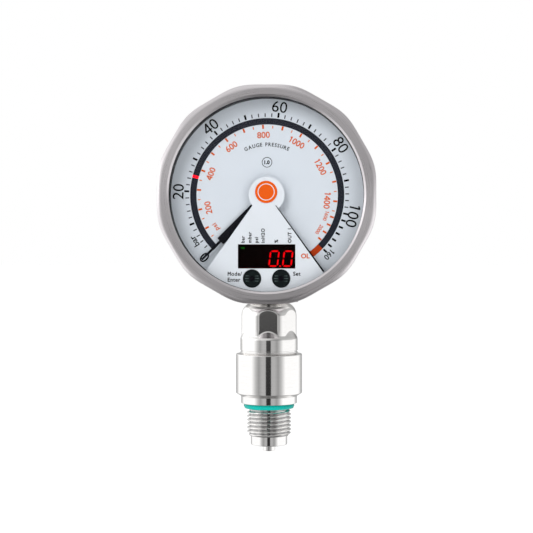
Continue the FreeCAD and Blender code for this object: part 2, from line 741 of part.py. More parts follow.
def build_electronics():
    """The pointer motor, and the main board on its four standoffs with screws and components."""
    case = slab("motor_case", "carrier_rear", "motor_rear", [oblong("0", "0", "motor_width", "motor_tall")])
    bore = cylinder("motor_bore", "shaft_radius + running_clearance/2", "motor_bore_rear - carrier_rear",
                    ("0", "carrier_rear", "0"), ALONG_Y)
    keep(cut("motor", case, bore), "pointer_motor", True)

    posts, post_holes, screws, board_holes = [], [], [], []
    reach = "screw_circle/sqrt(2)"
    for index, (sx, sz) in enumerate(((1, 1), (-1, 1), (-1, -1), (1, -1))):
        x, z = f"{sx}*({reach})", f"{sz}*({reach})"
        posts.append(cylinder(f"post_{index}", "standoff_radius", "board_front - led_board_rear",
                              (x, "led_board_rear", z), ALONG_Y))
        post_holes.append(cylinder(f"post_hole_{index}", "screw_radius", "screw_length",
                                   (x, "board_rear - screw_length", z), ALONG_Y))
        board_holes.append(cylinder(f"board_hole_{index}", "screw_radius", "board_rear - board_front",
                                    (x, "board_front", z), ALONG_Y))
        shank = cylinder(f"shank_{index}", "screw_radius", "screw_length", (x, "board_rear - screw_length", z),
                         ALONG_Y)
        head = cylinder(f"head_{index}", "screw_head_radius", "screw_head_height", (x, "board_rear", z),
                        ALONG_Y)
        screws.append(fuse(f"screw_{index}", shank, head))
    keep(cut("posts", group("post_blanks", posts), *post_holes), "board_standoffs", True)
    keep(group("screws", screws), "board_screws", True)

    disc = disc_y("board_disc", "board_radius", "board_front", "board_rear")
    notch = block("board_notch", ("-board_radius", "board_front - 1", "-board_radius - 1"),
                  ("board_radius", "board_rear + 1", "board_notch_top"))
    keep(cut("board", disc, notch, *board_holes), "main_board", True)

    parts = []
    for index, (x, z, wide, tall, deep) in enumerate((
            (-22, 14, 12, 12, 1.4), (-20, -8, 9, 6, 1.6), (18, 12, 8, 8, 4.0), (20, -6, 10, 5, 1.6),
            (0, 30, 18, 6, 5.0), (-6, -22, 14, 5, 3.0))):
        parts.append(block(f"component_{index}", (f"{x - wide/2}", "board_rear", f"{z - tall/2}"),
                           (f"{x + wide/2}", f"board_rear + {deep}", f"{z + tall/2}")))
    for index, (x, z) in enumerate(((10, -16), (18, -20), (30, 4))):
        parts.append(cylinder(f"capacitor_{index}", "capacitor_radius", "capacitor_height",
                              (f"{x}", "board_rear", f"{z}"), ALONG_Y))
    keep(group("components", parts), "board_components", True)


# ---------------------------------------------------------------- moving pieces of the head

def build_pointer():
    """The pointer: a broad bar with a narrow needle end, on a hub turned by the motor, at rest on zero."""
    half_wide, half_needle = "blade_width/2", "needle_width/2"
    outline = [
        ("-blade_tail", f"-({half_wide})"), ("blade_end - blade_corner", f"-({half_wide})"),
        ("blade_end", f"-({half_wide} - blade_corner)"), ("blade_end", f"-({half_needle})"),
        ("pointer_length", f"-({half_needle})*0.8"), ("pointer_length", f"({half_needle})*0.8"),
        ("blade_end", half_needle), ("blade_end", f"{half_wide} - blade_corner"),
        ("blade_end - blade_corner", half_wide), ("-blade_tail", half_wide),
    ]
    arm = slab("blade_arm", "blade_front", "blade_rear", [outline])
    eye = disc_y("blade_eye", "hub_radius", "blade_front", "blade_rear")
    hole = cylinder("blade_hole", "boss_radius", "4", ("0", "blade_front - 1", "0"), ALONG_Y)
    blade = cut("blade", fuse("blade_blank", arm, eye), hole)
    keep(blade, "pointer_blade", True)
    blade.Placement = Placement(blade.Placement.Base, Rotation(ALONG_Y, -number("zero_bar_angle")))

    keep(about_y("hub", [
        ("shaft_radius", "hub_front"), ("hub_radius - 0.3", "hub_front"), ("hub_radius", "hub_front + 0.2"),
        ("hub_radius", "blade_front"), ("boss_radius", "blade_front"), ("boss_radius", "hub_rear"),
        ("shaft_radius", "hub_rear"),
    ]), "pointer_hub", True)
    keep(disc_y("shaft", "shaft_radius", "hub_front", "shaft_rear"), "pointer_shaft", True)


def build_buttons():
    """The two set-up buttons, held behind the panel by their flanges."""
    for label, x in (("mode_button", "-button_x"), ("set_button", "button_x")):
        body = about_y(f"{label}_body", [
            ("0", "button_front"), ("button_radius - 0.4", "button_front"),
            ("button_radius", "button_front + 0.4"),
            ("button_radius", "panel_rear + 0.1"), ("button_flange", "panel_rear + 0.1"),
            ("button_flange", "panel_rear + 0.9"), ("1.6", "panel_rear + 0.9"), ("1.6", "dial_front - 2.3"),
            ("0", "dial_front - 2.3"),
        ])
        bind(body, "Placement.Base.x", x)
        bind(body, "Placement.Base.z", "gauge_height + button_z")
        keep(body, label, False)


def build_lens():
    """The laminated glass and the gasket behind it, which leave with the bezel."""
    edge = "0.3"
    keep(about_y("glass", [
        ("0", "glass_front"), (f"glass_radius - {edge}", "glass_front"),
        ("glass_radius", f"glass_front + {edge}"), ("glass_radius", f"glass_rear - {edge}"),
        (f"glass_radius - {edge}", "glass_rear"), ("0", "glass_rear"),
    ]), "lens_glass", True)
    keep(ring_y("gasket", "gasket_bore", "glass_radius", "glass_rear", "gasket_rear"), "lens_gasket", True)


def build_bezel():
    """The screw bezel: a turned ring with a polished inner lip and twelve gripping flats."""
    ring = about_y("bezel_ring_blank", [
        ("lip_radius", "bezel_front + lip_edge/2"), ("lip_radius + lip_edge", "bezel_front"),
        ("bezel_radius", "bezel_front"), ("bezel_radius", "bezel_rear - 0.5"),
        ("bezel_radius - 0.5", "bezel_rear"), ("bezel_bore", "bezel_rear"), ("bezel_bore", "recess_rear"),
        ("glass_recess", "recess_rear"),
        ("glass_recess", "glass_front"), ("lip_radius", "glass_front"),
    ])
    rounded(ring, "bezel_rounding", ("bezel_radius", "bezel_front"))
    grip = doc.addObject("Part::Prism", "grip_prism")
    bind(grip, "Polygon", "bezel_sides")
    bind(grip, "Circumradius", "bezel_flat/cos(180/bezel_sides)")
    bind(grip, "Height", "bezel_rear - bezel_front + 2")
    grip.Placement = Placement(Vector(), Rotation(ALONG_Z, ALONG_Y)*Rotation(ALONG_Z, 15))
    bind(grip, "Placement.Base.y", "bezel_front - 1")
    gripped = doc.addObject("Part::Common", "bezel")
    gripped.Base, gripped.Tool = ring, grip
    keep(gripped, "bezel_ring", True)


def check_and_export():
    """Stops on any failed object or bad solid, then writes one file for each sub-part."""
    doc.recompute()
    for thing in doc.Objects:
        if "Invalid" in thing.State or "Error" in thing.State:
            raise RuntimeError(f"{thing.Name} failed: {thing.State}")
    os.makedirs("parts", exist_ok=True)
    for piece in pieces:
        shape = piece.Shape
        if shape.isNull() or not shape.isValid() or not shape.Solids:
            raise RuntimeError(f"{piece.Label} has no valid solid")
        shape.exportStep(f"parts/{piece.Label}.step")
        box = shape.BoundBox
        print(f"{piece.Label:22s} solids {len(shape.Solids):2d}  volume {shape.Volume:10.1f}  "
              f"x {box.XMin:7.2f} {box.XMax:7.2f}  y {box.YMin:7.2f} {box.YMax:7.2f}  "
              f"z {box.ZMin:7.2f} {box.ZMax:7.2f}")


fill_sheet()
build_fitting()
build_measuring_cell()
build_neck()
build_housing()
build_connector()
build_rear_fittings()
build_dial()
build_led_ring()
build_panel()
build_digits()
build_electronics()
build_pointer()
build_buttons()
build_lens()
build_bezel()
check_and_export()
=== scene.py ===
"""Looks of the pressure switch: a 100 mm stainless gauge head on a swivelling G 1/2 process connection.

Everything is in metres in the part's own frame: +Z up along the thread, the dial facing -Y.
"""
import json
import math

import bmesh
import bpy
from mathutils import Matrix, Vector


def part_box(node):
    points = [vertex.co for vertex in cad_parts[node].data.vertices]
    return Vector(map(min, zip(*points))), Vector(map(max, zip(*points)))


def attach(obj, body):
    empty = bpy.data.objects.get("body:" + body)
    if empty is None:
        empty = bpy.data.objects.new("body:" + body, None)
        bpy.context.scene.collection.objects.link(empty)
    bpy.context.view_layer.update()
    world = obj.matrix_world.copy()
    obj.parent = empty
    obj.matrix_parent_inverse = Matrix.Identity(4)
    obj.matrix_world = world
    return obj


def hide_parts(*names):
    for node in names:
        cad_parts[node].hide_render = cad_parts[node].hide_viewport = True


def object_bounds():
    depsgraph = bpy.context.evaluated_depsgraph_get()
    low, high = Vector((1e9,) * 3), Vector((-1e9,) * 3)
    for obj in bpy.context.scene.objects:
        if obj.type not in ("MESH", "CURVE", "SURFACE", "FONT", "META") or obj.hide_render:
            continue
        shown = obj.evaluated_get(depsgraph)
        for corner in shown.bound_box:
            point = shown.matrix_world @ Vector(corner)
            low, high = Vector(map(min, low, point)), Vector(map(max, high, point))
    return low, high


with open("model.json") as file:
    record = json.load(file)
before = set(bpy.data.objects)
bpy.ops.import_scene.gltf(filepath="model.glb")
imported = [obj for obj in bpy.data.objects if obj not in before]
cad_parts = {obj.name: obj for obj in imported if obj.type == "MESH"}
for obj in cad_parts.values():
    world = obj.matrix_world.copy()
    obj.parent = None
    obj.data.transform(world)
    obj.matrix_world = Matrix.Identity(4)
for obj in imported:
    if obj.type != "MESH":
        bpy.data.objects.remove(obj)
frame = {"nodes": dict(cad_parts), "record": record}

CAD_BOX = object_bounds()
MM = 0.001
TINY = 1e-7
PRINT = 0.03*MM
NODES = frame["nodes"]


def box_of(node):
    """A node's lowest corner, highest corner and middle."""
    low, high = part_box(node)
    return low, high, (low + high)/2


PANEL_LOW, PANEL_HIGH, _ = box_of("display_panel")
BEZEL_LOW, BEZEL_HIGH, BEZEL_MIDDLE = box_of("bezel_ring")
CENTRE = Vector((0, 0, BEZEL_MIDDLE.z))
DIAL_FACE = box_of("dial_plate")[0].y
PANEL_FACE = PANEL_LOW.y


# ---------------------------------------------------------------- node helpers

class Tree:
    """Small wrapper that adds shader nodes and joins them."""

    def __init__(self, owner):
        owner.use_nodes = True
        self.tree = owner.node_tree
        self.tree.nodes.clear()

    def add(self, kind, **settings):
        made = self.tree.nodes.new(kind)
        for key, value in settings.items():
            setattr(made, key, value)
        return made

    def join(self, source, target):
        self.tree.links.new(source, target)

    def feed(self, made, values):
        """Each value is a number, a colour or another node's output socket."""
        for key, value in values.items():
            if isinstance(value, bpy.types.NodeSocket):
                self.join(value, made.inputs[key])
            else:
                made.inputs[key].default_value = value
        return made

    def math(self, operation, first, second=0.0, third=None):
        """A sum, product or other function of up to three values."""
        made = self.add("ShaderNodeMath", operation=operation)
        self.feed(made, {0: first, 1: second})
        if third is not None:
            self.feed(made, {2: third})
        return made.outputs[0]

    def ramp(self, value, *stops):
        """A shade for each value, through stops of (value, colour) in rising order."""
        made = self.add("ShaderNodeValToRGB")
        made.color_ramp.elements[0].position = stops[0][0]
        made.color_ramp.elements[0].color = stops[0][1]
        made.color_ramp.elements[1].position = stops[-1][0]
        made.color_ramp.elements[1].color = stops[-1][1]
        for place, colour in stops[1:-1]:
            made.color_ramp.elements.new(place).color = colour
        self.join(value, made.inputs[0])
        return made.outputs[0]

    def span(self, value, low, high, out_low, out_high):
        """A value carried from one range to another and kept inside it."""
        made = self.add("ShaderNodeMapRange")
        self.feed(made, {0: value, 1: low, 2: high, 3: out_low, 4: out_high})
        return made.outputs[0]

    def noise(self, vector, scale, detail=2.0, rough=0.5):
        """Cloudy noise about 0.5, with a scale's number of grains to one unit of its vector."""
        made = self.add("ShaderNodeTexNoise")
        self.feed(made, {"Vector": vector, "Scale": scale, "Detail": detail, "Roughness": rough})
        return made.outputs[0]

    def bump(self, height, strength, distance):
        made = self.add("ShaderNodeBump")
        self.feed(made, {"Height": height, "Strength": strength, "Distance": distance})
        return made.outputs[0]

    def place(self):
        """The place on the object, in metres."""
        return self.add("ShaderNodeTexCoord").outputs["Object"]

    def finish(self, shader, world=False):
        out = self.add("ShaderNodeOutputWorld" if world else "ShaderNodeOutputMaterial")
        self.join(shader, out.inputs[0])


def grey(value):
    return (value, value, value, 1.0)


def colour(r, g, b):
    return (r, g, b, 1.0)


def mixed(tree, share, first, second):
    """A share of the second colour over the first; 6, 7 and output 2 are a mix node's colour sockets."""
    made = tree.add("ShaderNodeMix", data_type="RGBA")
    tree.feed(made, {0: share, 6: first, 7: second})
    return made.outputs[2]


# ---------------------------------------------------------------- materials

def turned_metal(name, about, base, streak, rough, lines, depth, stretch=0.7, slow=2.2, shaded_roots=None):
    """Steel with fine lathe or brush lines round an axis: "y" through the dial, or "z" through the thread.

    The lines spread a reflection across themselves, so the shine is stretched at a right angle to them.
    The last argument paints shade into the bottom of a thread, where the flanks shade each other: the colour
    there is pulled towards grey. It holds the root radius, the radius where the painted shade ends, and the
    lowest and highest place of the thread.
    """
    material = bpy.data.materials.new(name)
    t = Tree(material)
    split = t.add("ShaderNodeSeparateXYZ")
    t.join(t.place(), split.inputs[0])
    x, y, z = split.outputs
    if about == "y":
        side, up, along = x, t.math("SUBTRACT", z, CENTRE.z), y
    else:
        side, up, along = x, y, z
    radius = t.math("SQRT", t.math("ADD", t.math("MULTIPLY", side, side), t.math("MULTIPLY", up, up)))
    safe = t.math("MAXIMUM", radius, 0.1*MM)
    outward, upward = t.math("DIVIDE", side, safe), t.math("DIVIDE", up, safe)
    fine = t.add("ShaderNodeCombineXYZ")
    t.feed(fine, {0: t.math("MULTIPLY", outward, slow), 1: t.math("MULTIPLY", upward, slow),
                  2: t.math("MULTIPLY", t.math("ADD", radius, along), lines)})
    hair = t.noise(fine.outputs[0], 1.0, 4.0, 0.62)
    broad = t.noise(t.place(), 60.0, 2.0)

    line_way = t.add("ShaderNodeCombineXYZ")
    back = t.math("MULTIPLY", upward, -1.0)
    t.feed(line_way, {0: back, 2: outward} if about == "y" else {0: back, 1: outward})
    turned_way = t.add("ShaderNodeVectorTransform", vector_type="VECTOR",
                       convert_from="OBJECT", convert_to="WORLD")
    t.join(line_way.outputs[0], turned_way.inputs[0])

    dark, light = base
    shade = t.ramp(hair, (0.30, colour(*dark)), (0.72, colour(*light)))
    gloss = t.add("ShaderNodeBsdfPrincipled")
    low, high = rough
    metal_colour = mixed(t, t.span(broad, 0.3, 0.7, 0.0, streak), shade, colour(*light))
    # Painted shade: the colour in the thread's roots is pulled towards grey, standing for the shade between
    # the flanks.
    if shaded_roots:
        root, end, lowest, highest = shaded_roots
        above, below = t.math("GREATER_THAN", along, lowest), t.math("LESS_THAN", along, highest)
        root_shade = t.math("MULTIPLY", t.math("MULTIPLY", above, below), t.span(radius, root, end, 1.0, 0.0))
        metal_colour = mixed(t, root_shade, metal_colour, grey(0.40))
    t.feed(gloss, {
        "Base Color": metal_colour,
        "Metallic": 1.0,
        "Roughness": t.math("ADD", t.span(hair, 0.25, 0.75, low, high), t.span(broad, 0.3, 0.7, 0.0, 0.02)),
        "Anisotropic": stretch,
        "Anisotropic Rotation": 0.25,
        "Tangent": turned_way.outputs[0],
        "Normal": t.bump(hair, depth, 0.00002),
    })
    t.finish(gloss.outputs[0])
    return material


def moulded(name, base, rough=0.45, grain=2500.0, depth=0.15, tint=0.35, shine=0.5, spread=0.04):
    """Plastic, rubber, film or paint with a fine moulding grain and slight shade changes."""
    material = bpy.data.materials.new(name)
    t = Tree(material)
    where = t.place()
    fine = t.noise(where, grain, 3.0)
    broad = t.noise(where, grain/40, 2.0)
    darker = tuple(max(0.0, channel*(1 - tint*0.5)) for channel in base)
    lighter = tuple(min(1.0, channel*(1 + tint*0.25)) for channel in base)
    shade = t.ramp(t.math("MULTIPLY_ADD", fine, 0.5, t.math("MULTIPLY", broad, 0.5)),
                   (0.35, colour(*darker)), (0.65, colour(*lighter)))
    surface = t.add("ShaderNodeBsdfPrincipled")
    t.feed(surface, {
        "Base Color": shade,
        "Roughness": t.span(fine, 0.3, 0.7, rough - spread, rough + spread),
        "Specular IOR Level": shine,
        "Normal": t.bump(fine, depth, 0.00002),
    })
    t.finish(surface.outputs[0])
    return material


def lit(name, base, strength, falloff=0.25):
    """A lit plastic mark, a little uneven as light through a diffuser is."""
    material = bpy.data.materials.new(name)
    t = Tree(material)
    uneven = t.noise(t.place(), 1500.0, 2.0)
    dim = tuple(channel*(1 - falloff) for channel in base)
    glow = t.ramp(uneven, (0.3, colour(*dim)), (0.6, colour(*base)))
    surface = t.add("ShaderNodeBsdfPrincipled")
    t.feed(surface, {"Base Color": glow, "Emission Color": glow, "Emission Strength": strength,
                     "Roughness": 0.3, "Specular IOR Level": 0.2})
    t.finish(surface.outputs[0])
    return material


def clear(name, tint, rough=0.02, index=1.45):
    """A thin clear pane: what is behind shows through its tint, and grazing views reflect more."""
    material = bpy.data.materials.new(name)
    t = Tree(material)
    through = t.feed(t.add("ShaderNodeBsdfTransparent"), {"Color": colour(*tint)})
    wipe = t.noise(t.place(), 40.0, 3.0)
    mirror = t.feed(t.add("ShaderNodeBsdfGlossy"),
                    {"Color": grey(1.0), "Roughness": t.span(wipe, 0.3, 0.7, rough, rough*2)})
    facing = t.feed(t.add("ShaderNodeFresnel"), {"IOR": index})
    both = t.add("ShaderNodeMixShader")
    t.feed(both, {0: facing.outputs[0], 1: through.outputs[0], 2: mirror.outputs[0]})
    t.finish(both.outputs[0])
    return material


def circuit(name):
    """Solder mask over copper tracks."""
    material = bpy.data.materials.new(name)
    t = Tree(material)
    where = t.place()
    cells = t.add("ShaderNodeTexBrick", offset=0.5)
    swap = t.add("ShaderNodeSeparateXYZ")
    t.join(where, swap.inputs[0])
    flat = t.add("ShaderNodeCombineXYZ")
    t.feed(flat, {0: swap.outputs[0], 1: swap.outputs[2]})
    t.feed(cells, {
        "Vector": flat.outputs[0],
        "Scale": 400.0,
        "Color1": colour(0.01, 0.16, 0.07),
        "Color2": colour(0.015, 0.20, 0.09),
        "Mortar": colour(0.03, 0.30, 0.13),
        "Mortar Size": 0.03,
    })
    surface = t.add("ShaderNodeBsdfPrincipled")
    t.feed(surface, {
        "Base Color": cells.outputs[0],
        "Roughness": t.span(t.noise(where, 900.0), 0.3, 0.7, 0.3, 0.42),
        "Normal": t.bump(cells.outputs[1], 0.3, 0.00003),
    })
    t.finish(surface.outputs[0])
    return material


# The darkest and lightest shade of each metal's lines.
FACED = ((0.66, 0.63, 0.645), (0.86, 0.825, 0.845))
BRIGHT = ((0.76, 0.75, 0.74), (0.86, 0.85, 0.84))
GILT = ((0.75, 0.52, 0.18), (0.90, 0.70, 0.32))
PLATE = ((0.66, 0.66, 0.67), (0.80, 0.80, 0.81))

# One material for each slot of the record, under the slot's own name.
MATERIALS = {
    "stainless_brushed": turned_metal("brushed_steel", "y", FACED, streak=0.25, rough=(0.24, 0.34),
                                      lines=5200.0, depth=0.2, stretch=0.86),
    "stainless_turned": turned_metal("turned_steel", "z", BRIGHT, streak=0.2, rough=(0.05, 0.10),
                                     lines=7000.0, depth=0.06, stretch=0.5),
    "seal_teal": moulded("teal_rubber", (0.0, 0.38, 0.325), rough=0.35, grain=1800.0, depth=0.1,
                         shine=0.15),
    "rubber_black": moulded("black_rubber", (0.018, 0.018, 0.019), rough=0.6, grain=2200.0, depth=0.3),
    "ceramic_white": moulded("ceramic", (0.85, 0.84, 0.80), rough=0.3, grain=3000.0, depth=0.1, tint=0.1),
    "circuit_board": circuit("solder_mask"),
    "plastic_black": moulded("black_plastic", (0.008, 0.008, 0.010), rough=0.55, grain=2600.0,
                             depth=0.25),
    "contact_gold": turned_metal("gold_plate", "y", GILT, streak=0.2, rough=(0.15, 0.25), lines=3000.0,
                                 depth=0.15),
    "lead_insulation": moulded("lead_insulation", (0.16, 0.07, 0.03), rough=0.4, grain=1500.0, depth=0.1),
    "plate_blank": turned_metal("plate", "z", PLATE, streak=0.2, rough=(0.3, 0.4), lines=4000.0,
                                depth=0.3, stretch=0.5, slow=0.6),
    "dial_white": moulded("dial_film", (0.615, 0.65, 0.705), rough=0.5, grain=5200.0, depth=0.12,
                          tint=0.05, spread=0.05),
    "panel_white": moulded("panel_film", (0.665, 0.69, 0.735), rough=0.45, grain=5200.0, depth=0.12,
                           tint=0.04, spread=0.05),
    "print_orange": moulded("orange_ink", (0.60, 0.088, 0.0), rough=0.5, grain=3000.0, depth=0.1,
                            tint=0.12, shine=0.08),
    "window_dark": moulded("smoked_window", (0.016, 0.018, 0.027), rough=0.35, grain=1400.0, depth=0.08,
                           tint=0.5, shine=0.1),
    "light_red": lit("red_light", (1.0, 0.0, 0.012), strength=0.95, falloff=0.12),
    "light_green": lit("green_light", (0.0, 0.50, 0.015), strength=1.0),
    "led_chip": moulded("led_chip", (0.8, 0.78, 0.62), rough=0.3, grain=2500.0, depth=0.1),
    "display_glass": clear("display_pane", (0.82, 0.42, 0.42), rough=0.06, index=1.12),
    "display_black": moulded("display_black", (0.003, 0.0012, 0.002), rough=0.5, grain=2500.0,
                             depth=0.06, tint=0.5, shine=0.05),
    "component_grey": moulded("component_grey", (0.06, 0.06, 0.065), rough=0.45, grain=2000.0, depth=0.2),
    "pointer_black": moulded("pointer_paint", (0.004, 0.004, 0.007), rough=0.5, grain=3500.0, depth=0.12,
                             tint=0.4, shine=0.12),
    "button_dark": moulded("button_rubber", (0.0018, 0.0060, 0.0068), rough=0.5, grain=2400.0, depth=0.2,
                           tint=0.5, shine=0.2),
    "clear_glass": clear("lens_pane", (0.985, 0.99, 0.99), rough=0.02, index=1.17),
}

# A G 1/2 thread: its pitch, its root and crest radii, and the places between which it is cut.
THREAD_PITCH, THREAD_ROOT, THREAD_CREST = 1.814*MM, 9.32*MM, 10.4775*MM
THREAD_BOTTOM, THREAD_TOP = -15.55*MM, -2.75*MM
# How far out from the root the painted shade in the thread's roots reaches.
ROOT_SHADE_DEPTH = 0.4*MM

# Finishes that share a slot with another one.
HEAD_BRIGHT = turned_metal("turned_about_dial", "y", BRIGHT, streak=0.2, rough=(0.08, 0.15),
                           lines=7000.0, depth=0.08, stretch=0.6)
# Turned steel with painted shade in the thread's roots.
THREADED = turned_metal("threaded_steel", "z", BRIGHT, streak=0.2, rough=(0.05, 0.10), lines=7000.0,
                        depth=0.06, stretch=0.5,
                        shaded_roots=(THREAD_ROOT, THREAD_ROOT + ROOT_SHADE_DEPTH, THREAD_BOTTOM, THREAD_TOP))
BUTTON_RIB = moulded("button_rib", (0.11, 0.15, 0.145), rough=0.5, grain=2400.0, depth=0.2, tint=0.4,
                     shine=0.2)
BUTTON_EYE = moulded("button_eye", (0.003, 0.002, 0.005), rough=0.6, grain=2400.0, depth=0.2, tint=0.4,
                     shine=0.1)
BLACK_INK = moulded("black_ink", (0.001, 0.001, 0.002), rough=0.55, grain=3000.0, depth=0.08, tint=0.3,
                    shine=0.03)
GREY_INK = moulded("grey_ink", (0.045, 0.045, 0.055), rough=0.55, grain=3000.0, depth=0.08, tint=0.2,
                   shine=0.05)
OVERLOAD_INK = moulded("overload_ink", (0.47, 0.047, 0.007), rough=0.5, grain=3000.0, depth=0.08,
                       tint=0.12, shine=0.05)
EMBLEM_ORANGE = moulded("emblem_orange", (0.72, 0.092, 0.002), rough=0.45, grain=2500.0, depth=0.1,
                        tint=0.1, shine=0.1)
PALE_ORANGE_INK = moulded("pale_orange_ink", (0.68, 0.21, 0.08), rough=0.55, grain=3000.0, depth=0.08,
                          tint=0.12, shine=0.05)
OWN_FINISH = {"overload_mark": OVERLOAD_INK, "emblem_disc": EMBLEM_ORANGE}


def paint_cad_nodes():
    """Every node of the frame gets its slot's material, or the finish above that suits it better.

    The connector's metal and the boards' screws are turned along the dial's axis and not the thread's.
    """
    for part in frame["record"]["subparts"]:
        name, slot = part["node"], part["material_slot"]
        material = OWN_FINISH.get(name, MATERIALS[slot])
        if slot == "stainless_turned" and name.startswith(("m12", "board")):
            material = HEAD_BRIGHT
        NODES[name].data.materials.clear()
        NODES[name].data.materials.append(material)


# ---------------------------------------------------------------- mesh helpers

def limited(value):
    """A share kept between none and all."""
    return max(0.0, min(1.0, value))


def piece(name, mesh, material, body, replaced=(), smooth_angle=35):
    """A finished piece that rides on a body, takes a slot's finish and may stand for frame nodes."""
    for polygon in mesh.polygons:
        polygon.use_smooth = True
    mesh.set_sharp_from_angle(angle=math.radians(smooth_angle))
    made = bpy.data.objects.new(name, mesh)
    bpy.context.scene.collection.objects.link(made)
    made.data.materials.append(material)
    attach(made, body)
    if replaced:
        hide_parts(*replaced)


def mesh_from(build):
    """A mesh from a function that fills a bmesh, with outward normals."""
    bm = bmesh.new()
    build(bm)
    bmesh.ops.recalc_face_normals(bm, faces=bm.faces)
    mesh = bpy.data.meshes.new("mesh")
    bm.to_mesh(mesh)
    bm.free()
    return mesh


def arc_corner(before, corner, after, radius, steps):
    """Points of a rounding between two straight stretches of an outline."""
    corner, before, after = Vector(corner), Vector(before), Vector(after)
    to_before, to_after = (before - corner).normalized(), (after - corner).normalized()
    half = to_before.angle(to_after)/2
    reach = radius/math.tan(half)
    middle = corner + (to_before + to_after).normalized()*(radius/math.sin(half))
    start, end = corner + to_before*reach - middle, corner + to_after*reach - middle
    turn = start.angle_signed(end)
    return [tuple(middle + Matrix.Rotation(-turn*i/steps, 2) @ start) for i in range(steps + 1)]


def softened(outline, steps=5):
    """A closed outline of (radius, place) or (radius, place, rounding) corners, with its roundings drawn."""
    flat = []
    count = len(outline)
    for i, point in enumerate(outline):
        if len(point) == 2:
            flat.append(tuple(point))
        else:
            flat += arc_corner(outline[i - 1][:2], point[:2], outline[(i + 1) % count][:2], point[2], steps)
    return flat


def supported(outline, long=1.5*MM, near=0.2*MM):
    """Adds a point close to each end of a long straight stretch, so that its shading stays flat."""
    made = []
    for first, second in zip(outline, outline[1:] + outline[:1]):
        made.append(first)
        length = math.dist(first, second)
        if length > long:
            for share in (near/length, 1 - near/length):
                made.append(tuple(a + (b - a)*share for a, b in zip(first, second)))
    return made


def lathe(bm, outline, about, segments, shape=None):
    """Turns a closed outline of (radius, place) round an axis: "y" at the dial's centre, or "z".

    shape(radius, place, angle) may vary both values of each point.
    """
    rings = []
    outline = supported(outline)
    for radius, place in outline:
        ring = []
        for i in range(segments):
            angle = 2*math.pi*i/segments
            r, p = shape(radius, place, angle) if shape else (radius, place)
            if about == "y":
                ring.append(bm.verts.new((r*math.cos(angle), p, CENTRE.z + r*math.sin(angle))))
            else:
                ring.append(bm.verts.new((r*math.cos(angle), r*math.sin(angle), p)))
        rings.append(ring)
    for first, second in zip(rings, rings[1:] + rings[:1]):
        for i in range(segments):
            j = (i + 1) % segments
            bm.faces.new((first[i], first[j], second[j], second[i]))
    bmesh.ops.remove_doubles(bm, verts=bm.verts, dist=TINY)
    bmesh.ops.dissolve_degenerate(bm, dist=TINY, edges=bm.edges)


def facing(x, z, depth, angle=0.0):
    """Places a flat shape drawn in XY so that it faces the reader at (x, z) from the dial's centre."""
    upright = Matrix.Rotation(math.radians(90), 4, "X")
    return Matrix.Translation((CENTRE.x + x, depth, CENTRE.z + z)) @ upright @ Matrix.Rotation(angle, 4, "Z")


def add_prism(bm, corners, place, thick):
    """A thin plate with the given XY corners, standing thick out of its place towards the reader."""
    back = [bm.verts.new(place @ Vector((x, y, 0))) for x, y in corners]
    front = [bm.verts.new(place @ Vector((x, y, thick))) for x, y in corners]
    bm.faces.new(front)
    bm.faces.new(back[::-1])
    for i in range(len(corners)):
        j = (i + 1) % len(corners)
        bm.faces.new((back[i], back[j], front[j], front[i]))


def add_ring(bm, x, z, inner, outer, depth, steps=64):
    """A flat printed ring round a point of the dial."""
    place = facing(x, z, depth)
    turns = [2*math.pi*i/steps for i in range(steps)]
    loops = []
    for radius, lift in ((inner, 0), (outer, 0), (outer, PRINT), (inner, PRINT)):
        points = [Vector((radius*math.cos(turn), radius*math.sin(turn), lift)) for turn in turns]
        loops.append([bm.verts.new(place @ point) for point in points])
    for first, second in zip(loops, loops[1:] + loops[:1]):
        for i in range(steps):
            j = (i + 1) % steps
            bm.faces.new((first[i], first[j], second[j], second[i]))


def polar(radius, degrees):
    """The (x, z) of a point from the dial's centre."""
    return radius*math.cos(math.radians(degrees)), radius*math.sin(math.radians(degrees))


def add_tick(bm, degrees, inner, outer, width):
    """A printed scale mark between two radii of the dial."""
    x, z = polar((inner + outer)/2, degrees)
    half, tall = width/2, (outer - inner)/2
    corners = [(-half, -tall), (half, -tall), (half, tall), (-half, tall)]
    add_prism(bm, corners, facing(x, z, DIAL_FACE, math.radians(degrees - 90)), PRINT)


# In ems: the height, step and stroke of the built-in face's figures, and the width and step of our own M.
FIGURE_HEIGHT, FIGURE_WIDTH, STEM = 0.691, 0.50, 0.098
EM_WIDTH, EM_STEP = 0.62, 0.70


def flat_words(words, weight, spacing=1.0):
    """The built-in face's own outlines for some words, made heavier by a weight, one unit to the em."""
    curve = bpy.data.curves.new("words", "FONT")
    curve.body = words
    curve.size = 1.0
    curve.space_character = spacing
    curve.resolution_u = 4
    curve.offset = weight
    holder = bpy.data.objects.new("words", curve)
    bpy.context.scene.collection.objects.link(holder)
    bpy.context.view_layer.update()
    drawn = holder.evaluated_get(bpy.context.evaluated_depsgraph_get())
    mesh = bpy.data.meshes.new_from_object(drawn)
    bpy.data.objects.remove(holder)
    bpy.data.curves.remove(curve)
    return mesh


def flat_polygon(corners):
    """A flat mesh of one face with these corners."""
    mesh = bpy.data.meshes.new("letter")
    mesh.from_pydata([(x, y, 0) for x, y in corners], [], [range(len(corners))])
    return mesh


def flat_one(weight):
    """A figure 1 with a flag, which the built-in face lacks."""
    stem_right, half = 0.33, STEM/2 + weight
    left, right = stem_right - STEM - weight, stem_right + weight
    foot, top, flag = -weight, FIGURE_HEIGHT + weight, 0.13
    flag_top = top - flag*0.75
    return flat_polygon([
        (left, foot), (right, foot), (right, top), (left + 0.02, top), (left - flag, flag_top),
        (left - flag + half*0.7, flag_top - half*1.6), (left, top - half*2.6),
    ])


